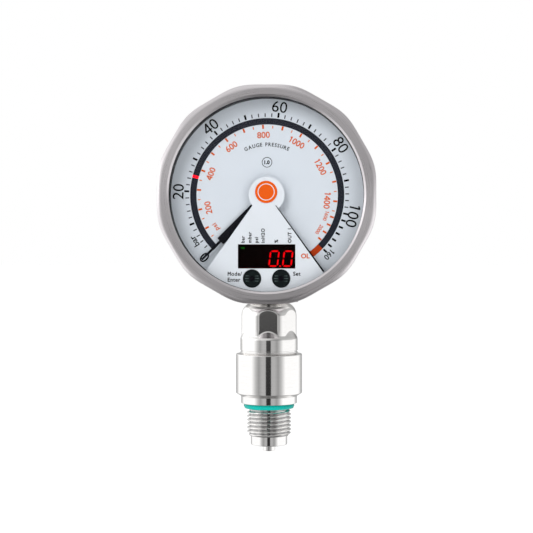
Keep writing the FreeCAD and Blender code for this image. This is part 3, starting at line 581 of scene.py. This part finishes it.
def flat_four(weight):
    """A figure 4 whose opening stays open when it is drawn heavier."""
    half = STEM/2 + weight - 0.003
    left, right, bar, stem = 0.02, 0.475, 0.205, 0.365
    stem_left, stem_right, bar_foot, bar_top = stem - half, stem + half, bar - half, bar + half
    foot, top = -weight, FIGURE_HEIGHT + weight
    slope = (FIGURE_HEIGHT - bar - half*1.3)/(stem_left - left)
    inner_left = left - weight + 2*half*math.sqrt(1 + 1/slope**2)
    outer = [
        (left - weight, bar_foot), (stem_left, bar_foot), (stem_left, foot), (stem_right, foot),
        (stem_right, bar_foot), (right + weight, bar_foot), (right + weight, bar_top), (stem_right, bar_top),
        (stem_right, top), (stem_left, top), (left - weight, bar + half*1.3),
    ]
    inner_top = bar_top + (stem_left - inner_left)*slope
    inner = [(inner_left, bar_top), (stem_left, bar_top), (stem_left, inner_top)]
    points = [(x, y, 0) for x, y in outer + inner]
    faces = [(0, 1, 12, 11, 10), (1, 2, 3, 4, 7, 12), (4, 5, 6, 7), (7, 8, 9, 13, 12), (9, 10, 11, 13)]
    mesh = bpy.data.meshes.new("four")
    mesh.from_pydata(points, [], faces)
    return mesh


def flat_em(weight):
    """A capital M whose middle stays open when it is drawn heavier."""
    stroke, wide, valley = STEM + 2*weight, EM_WIDTH, 0.16
    top, foot, middle = FIGURE_HEIGHT + weight, -weight, wide/2
    notch, shoulder, slant = top - stroke*1.9, stroke*0.95, valley + stroke*1.9
    return flat_polygon([
        (0, foot), (stroke, foot), (stroke, notch), (middle, valley), (wide - stroke, notch),
        (wide - stroke, foot), (wide, foot), (wide, top), (wide - shoulder, top), (middle, slant),
        (shoulder, top), (0, top),
    ])


def flat_parts(words, weight, spacing):
    """Flat meshes for some words, each with its place along the line.

    A number's 1 and 4 and a capital M at the start are drawn here; the rest is in the built-in face.
    """
    own = {"1": flat_one, "4": flat_four}
    if words.isdigit():
        figures = [own[figure](weight) if figure in own else flat_words(figure, weight) for figure in words]
        return [(flat, index*FIGURE_WIDTH*spacing) for index, flat in enumerate(figures)]
    if words.startswith("M"):
        return [(flat_em(weight), 0.0), (flat_words(words[1:], weight, spacing), EM_STEP)]
    return [(flat_words(words, weight, spacing), 0.0)]


def add_words(bm, words, height, place, wide=1.0, weight=0.0, align="CENTER", spacing=1.0):
    """Raised print of some words whose figures and capitals have this height."""
    shape = bmesh.new()
    for flat, step in flat_parts(words, weight, spacing):
        flat.transform(Matrix.Translation((step, 0, 0)))
        shape.from_mesh(flat)
        bpy.data.meshes.remove(flat)
    reach = [v.co.x for v in shape.verts]
    start = {"LEFT": min(reach), "CENTER": (min(reach) + max(reach))/2}[align]
    scale = height/FIGURE_HEIGHT
    middled = Matrix.Translation((-start, -FIGURE_HEIGHT/2, 0))
    sized = Matrix.Diagonal((scale*wide, scale, 1, 1))
    bmesh.ops.transform(shape, verts=shape.verts, matrix=sized @ middled)
    bmesh.ops.remove_doubles(shape, verts=shape.verts, dist=TINY)
    for face in shape.faces:
        if face.normal.z < 0:
            face.normal_flip()
    raised = bmesh.ops.extrude_face_region(shape, geom=shape.faces[:])
    moved = [v for v in raised["geom"] if isinstance(v, bmesh.types.BMVert)]
    bmesh.ops.translate(shape, verts=moved, vec=(0, 0, PRINT))
    shape.transform(place)
    solid = bpy.data.meshes.new("solid_words")
    shape.to_mesh(solid)
    shape.free()
    bm.from_mesh(solid)
    bpy.data.meshes.remove(solid)


# ---------------------------------------------------------------- bezel and process connection

def build_bezel():
    """The screw bezel, with a bright chamfer on its inner lip and a grip of twelve shallow waves."""
    outer, wave, waves, wave_start = 50.4*MM, 0.4*MM, 12, 48.1*MM
    front, rear = BEZEL_LOW.y, BEZEL_HIGH.y
    bore, recess, lip = 48.2*MM, 47.1*MM, 44.45*MM
    chamfer_wide, chamfer_deep = 0.95*MM, 0.62*MM
    glass_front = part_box("lens_glass")[0].y - 0.05*MM
    recess_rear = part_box("lens_gasket")[1].y - 0.1*MM
    outline = softened([
        (lip, glass_front), (lip, front + chamfer_deep, 0.1*MM), (lip + chamfer_wide, front, 0.2*MM),
        (outer, front, 2.3*MM), (outer, rear, 0.6*MM), (bore, rear, 0.3*MM),
        (bore, recess_rear), (recess, recess_rear), (recess, glass_front),
    ], 8)

    def shape(radius, place, angle):
        share = limited((radius - wave_start)/(outer - wave_start))
        return radius - wave*share*math.cos(waves*angle), place

    mesh = mesh_from(lambda bm: lathe(bm, outline, "y", 360, shape))
    piece("bezel_visible", mesh, MATERIALS["stainless_brushed"], "bezel", ["bezel_ring"])


def threaded(start, end, pitch, root, crest, rows=14):
    """Outline rows and a shape function for a helical thread between two places on an axis."""
    count = int(abs(end - start)/pitch*rows)
    places = [start + (end - start)*i/count for i in range(count + 1)]
    root_flat, flank, run_out = 0.12, 0.72, 0.7*pitch

    def shape(radius, place, angle):
        """Lifts a point to its height in the thread's profile, which fades out at both ends."""
        if not min(start, end) < place < max(start, end):
            return radius, place
        phase = (place/pitch - angle/(2*math.pi)) % 1.0
        rise = limited((abs(phase - 0.5)*2 - root_flat)/flank)
        fade = min(1.0, abs(place - start)/run_out, abs(place - end)/run_out)
        smooth = rise*rise*(3 - 2*rise)*0.5 + rise*0.5
        return root + (crest - root)*smooth*fade, place

    return [(root, place) for place in places], shape


def build_fitting():
    """The turned process fitting with its real helical thread."""
    root, top, bottom = THREAD_ROOT, THREAD_TOP, THREAD_BOTTOM
    rows, shape = threaded(bottom, top, THREAD_PITCH, root, THREAD_CREST)
    low, high, _ = box_of("process_fitting")
    barrel, collar, land, spigot, pin = 15.85*MM, 13.4*MM, 9.6*MM, 8.75*MM, 3.0*MM
    cone_foot, cone_top, spigot_end = 3.4*MM, 4.9*MM, -20*MM
    bore, chamber, mouth = 1.5*MM, 2.5*MM, 11.6*MM
    chamber_foot, mouth_foot = 5*MM, 10*MM
    outline = softened([
        (bore, low.z), (pin, low.z, 0.3*MM), (pin, spigot_end), (spigot, spigot_end, 0.45*MM),
        (spigot, bottom - 0.05*MM, 0.2*MM), (root, bottom - 0.04*MM),
    ])
    outline += rows
    outline += softened([
        (root, top + 0.02*MM), (land, top + 0.2*MM), (land, 0.0), (collar, 0.0, 0.25*MM),
        (collar, cone_foot, 0.2*MM), (barrel, cone_top, 0.5*MM), (barrel, high.z, 0.3*MM), (mouth, high.z),
        (mouth, mouth_foot), (chamber, mouth_foot), (chamber, chamber_foot), (bore, chamber_foot),
    ])
    mesh = mesh_from(lambda bm: lathe(bm, outline, "z", 144, shape))
    piece("fitting_visible", mesh, THREADED, "process_connection", ["process_fitting"])


def soft_lesser(first, second, reach):
    """The smaller of two lengths, with the change from one to the other rounded over a reach."""
    reach = max(reach, TINY)
    share = limited(0.5 + (second - first)/(2*reach))
    return second + (first - second)*share - reach*share*(1 - share)


def build_neck():
    """The hex neck: flats that end in arches over a turned shoulder, under a domed top and a spindle."""
    half_flats, corner, core = 12.3*MM, 13.2*MM, 12.0*MM
    shoulder, arch_start, arch_end, dome = 31.2*MM, 32.4*MM, 35.5*MM, 42.0*MM
    dome_round, dome_centre = 6.5*MM, 6.7*MM
    low, high, _ = box_of("hex_neck")
    barrel, bevel, edge = 13.75*MM, 0.6*MM, 0.05*MM
    line_foot, line_top, line_deep, line_slope = 24.6*MM, 25.4*MM, 0.3*MM, 0.1*MM
    spindle, bore = 9.5*MM, 6.0*MM
    seal_groove, seal_foot, seal_top = 8.3*MM, 51.5*MM, 53.3*MM
    clip_groove, clip_foot, clip_top = 8.6*MM, 58.3*MM, 59.5*MM
    dome_end = dome + math.sqrt(dome_round**2 - (spindle - dome_centre)**2)
    outline = softened([
        (bore, low.z), (barrel - bevel, low.z), (barrel, low.z + bevel, 0.3*MM),
        (barrel, line_foot, edge), (barrel - line_deep, line_foot + line_slope, edge),
        (barrel - line_deep, line_top - line_slope, edge), (barrel, line_top, edge),
        (barrel, shoulder, 3.0*MM), (corner, arch_start),
    ])
    arch_steps, dome_steps = 12, 14
    arch_step = (arch_end - arch_start)/arch_steps
    outline += [(corner, arch_start + arch_step*i) for i in range(1, arch_steps + 1)]
    outline += [(corner, dome)]
    turn = math.acos((spindle - dome_centre)/dome_round)/dome_steps
    outline += [(dome_centre + dome_round*math.cos(turn*i), dome + dome_round*math.sin(turn*i))
                for i in range(1, dome_steps + 1)]
    outline += softened([
        (spindle, dome_end + 0.05*MM),
        (spindle, seal_foot), (seal_groove, seal_foot), (seal_groove, seal_top), (spindle, seal_top),
        (spindle, clip_foot), (clip_groove, clip_foot), (clip_groove, clip_top), (spindle, clip_top),
        (spindle, high.z), (bore, high.z),
    ])

    def shape(radius, place, angle):
        """Cuts the six flats into the stretch from the arches' feet to the dome's top."""
        if not arch_start - 0.05*MM <= place <= dome_end + 0.01*MM or radius < spindle - 0.01*MM:
            return radius, place
        sixth = math.pi/3
        prism = half_flats/math.cos(angle % sixth - sixth/2)
        climb = limited((place - arch_start)/(arch_end - arch_start))
        cone = corner + (core - corner)*climb
        inner = -soft_lesser(-prism, -cone, 0.12*MM)
        return soft_lesser(radius, inner, 0.35*MM*climb), place

    mesh = mesh_from(lambda bm: lathe(bm, outline, "z", 240, shape))
    piece("neck_visible", mesh, MATERIALS["stainless_turned"], "process_connection",
          ["hex_neck"], smooth_angle=30)


def build_seal():
    """The profile seal ring, with a rounded lip."""
    low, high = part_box("profile_seal_ring")
    inner, outer = 9.65*MM, high.x
    outline = softened([
        (inner, low.z), (outer - 0.5*MM, low.z, 0.3*MM), (outer, (low.z + high.z)/2, 0.9*MM),
        (outer - 0.4*MM, high.z, 0.2*MM), (inner, high.z),
    ])
    mesh = mesh_from(lambda bm: lathe(bm, outline, "z", 144))
    piece("seal_visible", mesh, MATERIALS["seal_teal"], "process_connection",
          ["profile_seal_ring"])


# ---------------------------------------------------------------- printed scales

ZERO_ANGLE, HUNDRED_ANGLE, TOP_ANGLE = 224.8, -13.5, -43.8
EVEN_END, SCALE_END = 100, 160
PSI_PER_BAR = 14.504


def bar_angle(bar):
    """The dial angle of a pressure: an even scale to 100 bar, then a squeezed one to 160."""
    if bar <= EVEN_END:
        return ZERO_ANGLE + (HUNDRED_ANGLE - ZERO_ANGLE)*bar/EVEN_END
    return HUNDRED_ANGLE + (TOP_ANGLE - HUNDRED_ANGLE)*(bar - EVEN_END)/(SCALE_END - EVEN_END)


def psi_angle(psi):
    """The dial angle of a pressure in psi."""
    return bar_angle(psi/PSI_PER_BAR)


def radial_words(bm, words, radius, degrees, height, **style):
    """Words read round the dial, their feet towards its centre."""
    x, z = polar(radius, degrees)
    add_words(bm, words, height, facing(x, z, DIAL_FACE, math.radians(degrees - 90)), **style)


def arc_places(words, reach, space=0.9, gap=0.25):
    """Each letter of some words with its angle from their middle, spaced by the letters' own widths."""
    widths = []
    for letter in words:
        width = space
        if letter != " ":
            flat = flat_words(letter, 0.0)
            edges = [v.co.x for v in flat.vertices]
            width = (max(edges) - min(edges))/FIGURE_WIDTH + gap
            bpy.data.meshes.remove(flat)
        widths.append(width)
    places, passed = [], 0.0
    for letter, width in zip(words, widths):
        places.append((letter, reach*(0.5 - (passed + width/2)/sum(widths))))
        passed += width
    return [(letter, place) for letter, place in places if letter != " "]


def build_dial_print():
    """Black bar scale, orange psi scale, and the small words between them."""
    bar_inner, bar_outer, bar_mark = 36.15*MM, 38.45*MM, 0.92*MM
    psi_inner, psi_outer, psi_mark = 30.7*MM, 32.6*MM, 0.84*MM
    arc_words, arc_radius, arc_reach, arc_middle = "GAUGE PRESSURE", 23.5*MM, 53.0, 90.3
    large, medium, small = 5.0*MM, 2.75*MM, 1.65*MM
    badge, badge_inner, badge_outer = 15.2*MM, 2.10*MM, 2.40*MM
    leans = {20: 0.5, 100: -0.3}

    def black(bm):
        for bar in range(0, EVEN_END + 1, 10):
            add_tick(bm, bar_angle(bar), bar_inner, bar_outer, bar_mark)
        for bar in range(EVEN_END + 10, SCALE_END + 1, 10):
            add_tick(bm, bar_angle(bar), bar_inner, bar_outer - 0.15*MM, bar_mark)
        for bar in range(0, EVEN_END + 1, 20):
            place = bar_angle(bar) + leans.get(bar, 0.0)
            out = 40.9*MM if bar in (0, EVEN_END) else 41.25*MM
            radial_words(bm, str(bar), out, place, large, wide=1.04, weight=0.003)
        radial_words(bm, str(SCALE_END), 39.8*MM, TOP_ANGLE, 2.5*MM, weight=0.014)
        radial_words(bm, "bar", 39.9*MM, 212.3, medium, weight=0.018)
        for letter, place in arc_places(arc_words, arc_reach):
            radial_words(bm, letter, arc_radius, arc_middle + place, small, wide=0.92, weight=0.022)
        add_ring(bm, 0, badge, badge_inner, badge_outer, DIAL_FACE)
        add_words(bm, "1.0", 1.6*MM, facing(0, badge, DIAL_FACE), weight=0.05)

    def grey_marks(bm):
        for bar in range(2, EVEN_END, 2):
            if bar % 10:
                add_tick(bm, bar_angle(bar), 36.2*MM, 37.9*MM, 0.52*MM)

    def orange(bm):
        for psi in [*range(100, 1500, 100), *range(1600, 2300, 200)]:
            add_tick(bm, psi_angle(psi), psi_inner, psi_outer, psi_mark)
        for psi in range(200, 1500, 200):
            radial_words(bm, str(psi), 27.9*MM, psi_angle(psi), medium, weight=0.018)
        for psi in (1600, 2000):
            radial_words(bm, str(psi), 28.9*MM, psi_angle(psi) - 0.8, small, weight=0.02)
        radial_words(bm, "psi", 28.1*MM, 211.6, 2.15*MM, weight=0.02, spacing=1.1)

    def pale_orange(bm):
        for psi in range(50, 1500, 100):
            add_tick(bm, psi_angle(psi), 30.9*MM, 32.2*MM, 0.50*MM)

    for name, build, ink, slot in (
            ("dial_print_black", black, BLACK_INK, "pointer_black"),
            ("dial_print_grey", grey_marks, GREY_INK, "pointer_black"),
            ("dial_print_orange", orange, MATERIALS["print_orange"], "print_orange"),
            ("dial_print_pale", pale_orange, PALE_ORANGE_INK, "print_orange")):
        piece(name, mesh_from(build), ink, "head")


def build_panel_print():
    """Unit names over the window, words beside the buttons, the edge line and the emblem's ring."""
    units_foot = -22.1*MM
    units = (("bar", -10.9), ("mbar", -7.77), ("psi", -4.7), ("inH2O", -1.68), ("%", 4.44), ("OUT 1", 10.56))

    def black(bm):
        for words, x in units:
            place = facing(x*MM, units_foot, PANEL_FACE, math.radians(90))
            add_words(bm, words, 1.55*MM, place, wide=0.96, weight=0.034, align="LEFT", spacing=1.16)
        for words, x, z in (("Mode/", -17.9, -36.3), ("Enter", -17.9, -39.0), ("Set", 12.2, -36.25)):
            place = facing(x*MM, z*MM, PANEL_FACE)
            add_words(bm, words, 1.75*MM, place, wide=0.95, weight=0.026, align="LEFT", spacing=1.12)

    def orange(bm):
        add_words(bm, "OL", 2.1*MM, facing(17.8*MM, -28.1*MM, PANEL_FACE), weight=0.03)

    def edge_line(bm):
        """A black strip along the panel's right-hand edge, widening outwards."""
        half_angle = math.radians(35.6)
        apex_x, apex_z, start, end = -1.25*MM, 2.35*MM, 9.0*MM, 46.6*MM
        inner_width, outer_width = 0.35*MM, 0.75*MM
        place = facing(apex_x, apex_z, PANEL_HIGH.y, math.pi + half_angle)
        corners = [(-inner_width, start), (0.0, start), (0.0, end), (-outer_width, end)]
        add_prism(bm, corners, place, PANEL_HIGH.y - PANEL_LOW.y)

    def ring(bm):
        low, _, middle = box_of("emblem_disc")
        add_ring(bm, middle.x, middle.z - CENTRE.z, 3.55*MM, 3.9*MM, low.y)

    piece("panel_print_black", mesh_from(black), BLACK_INK, "head")
    piece("panel_print_orange", mesh_from(orange), MATERIALS["print_orange"], "head")
    piece("panel_edge_line", mesh_from(edge_line), BLACK_INK, "head")
    piece("emblem_ring", mesh_from(ring), MATERIALS["panel_white"], "head")


# ---------------------------------------------------------------- display and buttons

def build_digits():
    """The lit bars of the display, each a little slimmer than the part that stands for it.

    A bar is much longer than it is wide and keeps most of its length; a point of light shrinks evenly.
    """
    long_trim, side_trim, point_trim, long_ratio = 0.04, 0.26, 0.15, 1.4
    holder = NODES["lit_segments"]
    bm = bmesh.new()
    bm.from_mesh(holder.data)
    bm.transform(holder.matrix_world)
    waiting = set(bm.verts)
    while waiting:
        bar, edge = set(), {waiting.pop()}
        while edge:
            bar |= edge
            edge = {e.other_vert(v) for v in edge for e in v.link_edges} - bar
        waiting -= bar
        centre = sum((v.co for v in bar), Vector())/len(bar)
        points = [v.co - centre for v in bar]
        lean = 0.5*math.atan2(2*sum(p.x*p.z for p in points), sum(p.x**2 - p.z**2 for p in points))
        along = Vector((math.cos(lean), 0, math.sin(lean)))
        across = Vector((-along.z, 0, along.x))
        is_long = max(p.dot(along) for p in points) > long_ratio*max(p.dot(across) for p in points)
        end_trim, width_trim = (long_trim, side_trim) if is_long else (point_trim, point_trim)
        for v in bar:
            p = v.co - centre
            v.co -= along*p.dot(along)*end_trim + across*p.dot(across)*width_trim
    mesh = bpy.data.meshes.new("digits")
    bm.to_mesh(mesh)
    bm.free()
    piece("digits_visible", mesh, MATERIALS["light_red"], "head", ["lit_segments"],
          smooth_angle=20)


def build_button(node):
    """A rubber button: a rim, a sunk eye in the middle, and three short ribs on either side of it."""
    low, high, middle = box_of(node)
    face, aside, up = low.y, middle.x, middle.z - CENTRE.z
    stem, pit, rim_start = 1.6*MM, 1.35*MM, 3.55*MM
    pit_floor, dish_floor, soft = face + 0.35*MM, face + 0.12*MM, 0.1*MM
    flange, flange_front = (high.x - low.x)/2, PANEL_HIGH.y + 0.1*MM
    flange_rear = flange_front + 0.8*MM
    radius = flange - 0.32*MM
    outline = softened([
        (0.0, pit_floor), (pit - 0.2*MM, pit_floor, soft), (pit, dish_floor, soft),
        (rim_start - 0.2*MM, dish_floor, soft), (rim_start, face, soft), (radius - 0.05*MM, face, 0.25*MM),
        (radius, flange_front), (flange, flange_front), (flange, flange_rear), (stem, flange_rear),
        (stem, high.y), (0.0, high.y),
    ])
    eye_radius, eye_front, eye_rear = 1.1*MM, face + 0.30*MM, face + 0.4*MM
    eye_outline = [(0.0, eye_front), (eye_radius, eye_front), (eye_radius, eye_rear), (0.0, eye_rear)]

    def turned(bm, profile, segments):
        lathe(bm, profile, "y", segments)
        bmesh.ops.translate(bm, verts=bm.verts, vec=(aside, 0, up))

    def body(bm):
        turned(bm, outline, 72)

    def ribs(bm):
        half = 0.14
        for z, reach in ((1.2, 2.9), (0.0, 3.2), (-1.2, 2.9)):
            for side in (-1, 1):
                for start, end in ((1.45, 1.75), (2.0, reach)):
                    corners = [(start, -half), (end, -half), (end, half), (start, half)]
                    corners = [(side*x*MM, y*MM) for x, y in corners][::side]
                    add_prism(bm, corners, facing(aside, up + z*MM, face + 0.13*MM), 0.1*MM)

    def eye(bm):
        turned(bm, eye_outline, 48)

    piece(f"{node}_cap", mesh_from(body), MATERIALS["button_dark"], node, [node])
    piece(f"{node}_ribs", mesh_from(ribs), BUTTON_RIB, node)
    piece(f"{node}_eye", mesh_from(eye), BUTTON_EYE, node)


# ---------------------------------------------------------------- light, floor and camera

def build_world():
    """A studio round the object: a dark slot low behind the camera, grey beside it, white at the sides.

    The object mirrors it, while the camera itself sees plain white. away runs from 0 behind the camera to 1
    behind the object. A ramp for low directions passes into one for high directions, and that into a ceiling
    which is darker at the upper right; straight below it is dark grey.
    """
    world = bpy.data.worlds.new("studio")
    bpy.context.scene.world = world
    t = Tree(world)
    split = t.add("ShaderNodeSeparateXYZ")
    t.join(t.add("ShaderNodeTexCoord").outputs["Generated"], split.inputs[0])
    x, y, z = split.outputs
    turn = t.math("ARCTAN2", x, t.math("MULTIPLY", y, -1.0))
    away = t.math("DIVIDE", t.math("ABSOLUTE", turn), math.pi)
    lower = t.ramp(away, (0.0, grey(0.03)), (0.046, grey(0.035)), (0.056, grey(0.52)), (0.12, grey(0.54)),
                   (0.19, grey(0.38)), (0.25, grey(0.62)), (0.34, grey(1.25)), (0.70, grey(1.25)),
                   (0.82, grey(0.55)), (1.0, grey(0.4)))
    left_bright = t.span(x, -0.45, 0.35, 0.84, 0.29)
    upper = t.ramp(away, (0.0, grey(1.0)), (0.22, grey(1.0)), (0.34, grey(2.2)), (0.70, grey(2.2)),
                   (0.82, grey(1.1)), (1.0, grey(0.8)))
    front = t.add("ShaderNodeVectorMath", operation="SCALE")
    t.feed(front, {0: upper, 3: left_bright})
    level = t.span(z, -0.10, 0.10, 0.0, 1.0)
    high = t.ramp(level, (0.08, grey(0.0)), (0.22, grey(0.13)), (0.57, grey(0.13)), (0.88, grey(1.0)))
    walls = mixed(t, high, lower, front.outputs[0])
    corner = t.math("MULTIPLY", t.math("MAXIMUM", x, 0.0), t.math("MAXIMUM", z, 0.0))
    overhead = mixed(t, t.span(corner, 0.0, 0.22, 0.0, 1.0), grey(0.85), grey(0.52))
    raised = mixed(t, t.span(z, 0.16, 0.60, 0.0, 1.0), walls, overhead)
    seen = mixed(t, t.span(z, -0.86, -0.62, 1.0, 0.0), raised, grey(0.22))
    studio = t.feed(t.add("ShaderNodeBackground"), {"Color": seen, "Strength": 1.0})
    plain = t.feed(t.add("ShaderNodeBackground"), {"Color": grey(1.0), "Strength": 1.0})
    path = t.add("ShaderNodeLightPath")
    both = t.add("ShaderNodeMixShader")
    t.feed(both, {0: path.outputs["Is Camera Ray"], 1: studio.outputs[0], 2: plain.outputs[0]})
    t.finish(both.outputs[0], world=True)


def soft_light(name, place, size, power):
    """A large soft lamp aimed at the dial, for the matt surfaces; polished ones mirror the studio instead."""
    data = bpy.data.lights.new(name, "AREA")
    data.shape = "DISK"
    data.size = size
    data.energy = power
    lamp = bpy.data.objects.new(name, data)
    lamp.location = place
    lamp.rotation_euler = (CENTRE - Vector(place)).to_track_quat("-Z", "Y").to_euler()
    lamp.visible_glossy = False
    bpy.context.scene.collection.objects.link(lamp)


def build_floor():
    """A plain pale floor some way under the object, which floats over it as in the photograph."""
    half_side, drop = 20.0, 0.12
    mesh = mesh_from(lambda bm: bmesh.ops.create_grid(bm, x_segments=1, y_segments=1, size=half_side))
    floor = bpy.data.objects.new("floor", mesh)
    floor.location = (0, 0, CAD_BOX[0].z - drop)
    pale = bpy.data.materials.new("floor_paint")
    t = Tree(pale)
    surface = t.add("ShaderNodeBsdfPrincipled")
    t.feed(surface, {
        "Base Color": grey(0.9),
        "Roughness": t.span(t.noise(t.place(), 30.0), 0.3, 0.7, 0.7, 0.8),
        "Emission Color": grey(1.0),
        "Emission Strength": 0.35,
        "Specular IOR Level": 0.0,
    })
    t.finish(surface.outputs[0])
    mesh.materials.append(pale)
    floor.visible_glossy = False
    bpy.context.scene.collection.objects.link(floor)


def build_camera():
    """A level camera, a little right of the dial's axis and below its centre, with its picture shifted."""
    azimuth = math.radians(2.34)
    distance = 0.600
    eye_height = 73.0*MM
    aside = 0.25*MM
    pixels, focal_pixels, shift_pixels, sensor = 533, 1322.8, -15.8, 36.0
    forward = Vector((-math.sin(azimuth), math.cos(azimuth), 0))
    right = Vector((math.cos(azimuth), math.sin(azimuth), 0))
    target = Vector((0, BEZEL_LOW.y, eye_height))
    data = bpy.data.cameras.new("camera")
    data.sensor_width = sensor
    data.lens = focal_pixels*sensor/pixels
    data.shift_y = shift_pixels/pixels
    data.clip_start, data.clip_end = 0.05, 60.0
    camera = bpy.data.objects.new("camera", data)
    camera.location = target - forward*distance + right*aside
    camera.rotation_euler = forward.to_track_quat("-Z", "Y").to_euler()
    bpy.context.scene.collection.objects.link(camera)
    bpy.context.scene.camera = camera


paint_cad_nodes()
build_bezel()
build_fitting()
build_neck()
build_seal()
build_dial_print()
build_panel_print()
build_digits()
build_button("mode_button")
build_button("set_button")
build_world()
soft_light("key_light", (-0.7, -1.5, 0.9), size=1.1, power=14.5)
soft_light("fill_light", (0.8, -1.5, 0.3), size=1.2, power=6.0)
build_floor()
build_camera()
bpy.context.scene.view_settings.view_transform = "Standard"
